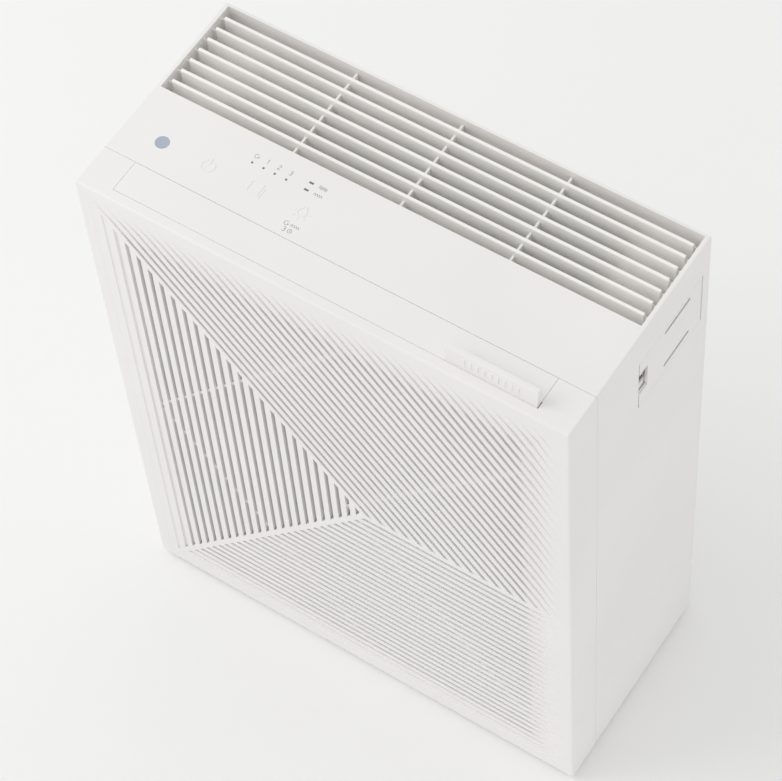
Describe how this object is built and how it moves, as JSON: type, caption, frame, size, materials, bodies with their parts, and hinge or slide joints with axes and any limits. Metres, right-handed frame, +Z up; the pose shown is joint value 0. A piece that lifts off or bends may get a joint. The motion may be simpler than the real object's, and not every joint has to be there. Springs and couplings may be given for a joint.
{
  "type": "air purifier",
  "caption": "Slim free-standing air purifier: slotted front intake, pull-out filter drawer, centrifugal fan, louvred top outlet, side sensor door and rear carry recess.",
  "frame": {"origin": "on the floor under the middle of the case's width and depth", "axes": "+Z up, the slotted front faces -Y, +X to the right seen from the front"},
  "size_m": [0.35, 0.162, 0.4712],
  "materials": {
    "shell_white": "fine satin moulded ABS, near white",
    "grille_white": "fine satin moulded ABS, near white",
    "inner_white": "plain moulded plastic, off-white",
    "duct_grey": "plain moulded plastic, mid grey",
    "fan_grey": "glass-filled moulded plastic",
    "lens_blue_grey": "smooth translucent plastic",
    "light_dark": "smooth smoked plastic",
    "mesh_grey": "woven nylon filament",
    "carbon_black": "granular honeycomb",
    "pleat_white": "pleated melt-blown fibre",
    "card_white": "plain",
    "foam_black": "closed-cell foam",
    "rubber_grey": "soft moulded rubber",
    "screw_steel": "zinc plated",
    "shaft_steel": "ground",
    "motor_metal": "zinc-plated pressed steel",
    "stator_iron": "laminated",
    "board_green": "solder mask",
    "wire_white": "smooth PVC sleeve",
    "glass_clear": "polished"
  },
  "bodies": {
    "case": {"front_cover": "shell_white", "main_housing": "shell_white", "back_panel": "shell_white", "cord_gland": "rubber_grey", "back_screws": "screw_steel", "case_screws": "screw_steel", "rubber_feet": "rubber_grey", "outlet_grille": "grille_white", "sensor_bay": "inner_white", "particle_sensor": "fan_grey", "sensor_lens": "glass_clear", "fan_plate": "inner_white", "inlet_guard": "inner_white", "fan_scroll": "duct_grey", "air_duct": "inner_white", "motor_case": "motor_metal", "motor_bearings": "shaft_steel", "motor_stator": "stator_iron", "motor_bushes": "rubber_grey", "motor_screws": "screw_steel", "control_board": "board_green", "touch_pads": "rubber_grey", "air_quality_lens": "lens_blue_grey", "status_lights": "light_dark", "light_chamber": "inner_white", "power_board_box": "inner_white", "power_board": "board_green", "wiring_harness": "wire_white"},
    "drawer": {"filter_drawer": "shell_white", "prefilter_frame": "inner_white", "prefilter_mesh": "mesh_grey", "carbon_filter": "carbon_black", "hepa_frame": "card_white", "hepa_pleats": "pleat_white", "filter_gasket": "foam_black"},
    "rotor": {"impeller": "fan_grey", "motor_shaft": "shaft_steel", "impeller_nut": "fan_grey", "motor_rotor": "stator_iron"},
    "door": {"sensor_cover": "shell_white"}
  },
  "joints": [
    {"name": "drawer_slide", "type": "slide", "parent": "case", "child": "drawer", "axis": [0, 0, 1], "range_m": [0, 0.42]},
    {"name": "fan_spin", "type": "hinge", "parent": "case", "child": "rotor", "pos_m": [0, 0.019, 0.225], "axis": [0, 1, 0], "continuous": true},
    {"name": "door_hinge", "type": "hinge", "parent": "case", "child": "door", "pos_m": [0.1732, 0.0702, 0.406], "axis": [0, 0, 1], "range_deg": [0, 95]}
  ]
}
